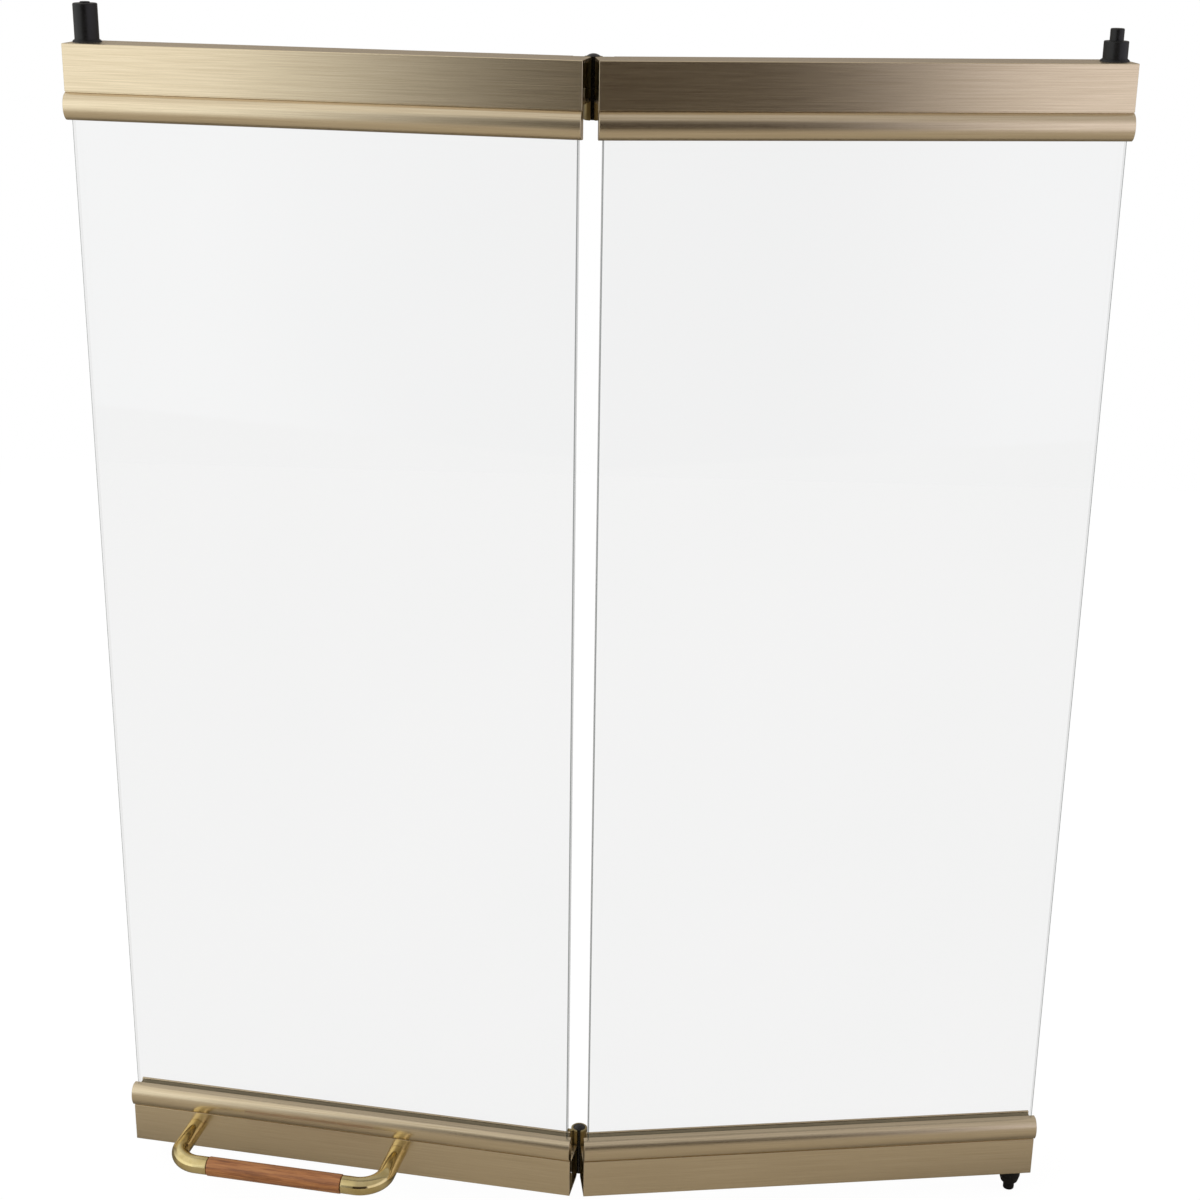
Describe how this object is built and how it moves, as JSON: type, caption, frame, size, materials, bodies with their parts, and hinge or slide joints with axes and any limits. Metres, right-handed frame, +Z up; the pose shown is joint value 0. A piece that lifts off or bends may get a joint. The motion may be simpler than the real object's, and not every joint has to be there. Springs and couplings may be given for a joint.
{
  "type": "bi-fold fireplace glass door",
  "caption": "Bi-fold fireplace glass screen: framed clear panes on hinges, with sprung top pins, a fixed lower pivot and a brass and wood pull handle.",
  "frame": {"origin": "centre of the lower pivot pin's shoulder, where it bears on the bracket below", "axes": "+Z up, +Y to the rear (fire side), +X along the opening from the guide-peg end to the pivot end"},
  "size_m": [0.4472, 0.0735, 0.5648],
  "materials": {
    "glass": "clear tempered",
    "rail_gold": "satin brushed champagne-gold anodised",
    "glazing_vinyl": "matte grey vinyl",
    "hinge_bronze": "antique bronze",
    "hinge_pin_black": "black oxide",
    "black_nylon": "moulded nylon, satin",
    "screw_steel": "zinc plated",
    "spring_steel": "bright spring wire",
    "handle_brass": "polished",
    "grip_wood": "oiled reddish brown"
  },
  "bodies": {
    "pivot_panel": {"right_glass": "glass", "right_top_rail": "rail_gold", "right_bottom_rail": "rail_gold", "right_top_glazing": "glazing_vinyl", "right_bottom_glazing": "glazing_vinyl", "upper_hinge_pivot_leaf": "hinge_bronze", "lower_hinge_pivot_leaf": "hinge_bronze", "upper_hinge_pin": "hinge_pin_black", "lower_hinge_pin": "hinge_pin_black", "pivot_hinge_screws": "screw_steel", "top_pivot_block": "black_nylon", "top_pivot_bushing": "black_nylon", "top_pivot_spring": "spring_steel", "top_block_screw": "screw_steel", "bottom_pivot_block": "black_nylon", "bottom_pivot_pin": "black_nylon", "bottom_block_screw": "screw_steel"},
    "lead_panel": {"left_glass": "glass", "left_top_rail": "rail_gold", "left_bottom_rail": "rail_gold", "left_top_glazing": "glazing_vinyl", "left_bottom_glazing": "glazing_vinyl", "upper_hinge_lead_leaf": "hinge_bronze", "lower_hinge_lead_leaf": "hinge_bronze", "lead_hinge_screws": "screw_steel", "guide_block": "black_nylon", "guide_bushing": "black_nylon", "guide_block_screw": "screw_steel", "guide_spring": "spring_steel", "handle_outer_elbow": "handle_brass", "handle_inner_elbow": "handle_brass", "handle_grip": "grip_wood", "handle_tie_rod": "screw_steel", "handle_screws": "screw_steel", "handle_washers": "screw_steel"},
    "guide_peg": {"guide_peg": "black_nylon"},
    "top_pivot_pin": {"top_pivot_pin": "black_nylon"}
  },
  "joints": [
    {"name": "centre_fold", "type": "hinge", "parent": "pivot_panel", "child": "lead_panel", "pos_m": [-0.21468, -0.02245, 0.2771], "axis": [0, 0, -1], "range_deg": [-17.6, 158]},
    {"name": "guide_plunge", "type": "slide", "parent": "lead_panel", "child": "guide_peg", "axis": [0, 0, -1], "range_m": [0, 0.008], "stiffness_N_per_m": 400, "springref_m": -0.006, "deforming": ["guide_spring"]},
    {"name": "top_pivot_plunge", "type": "slide", "parent": "pivot_panel", "child": "top_pivot_pin", "axis": [0, 0, -1], "range_m": [0, 0.008], "stiffness_N_per_m": 400, "springref_m": -0.006, "deforming": ["top_pivot_spring"]}
  ]
}
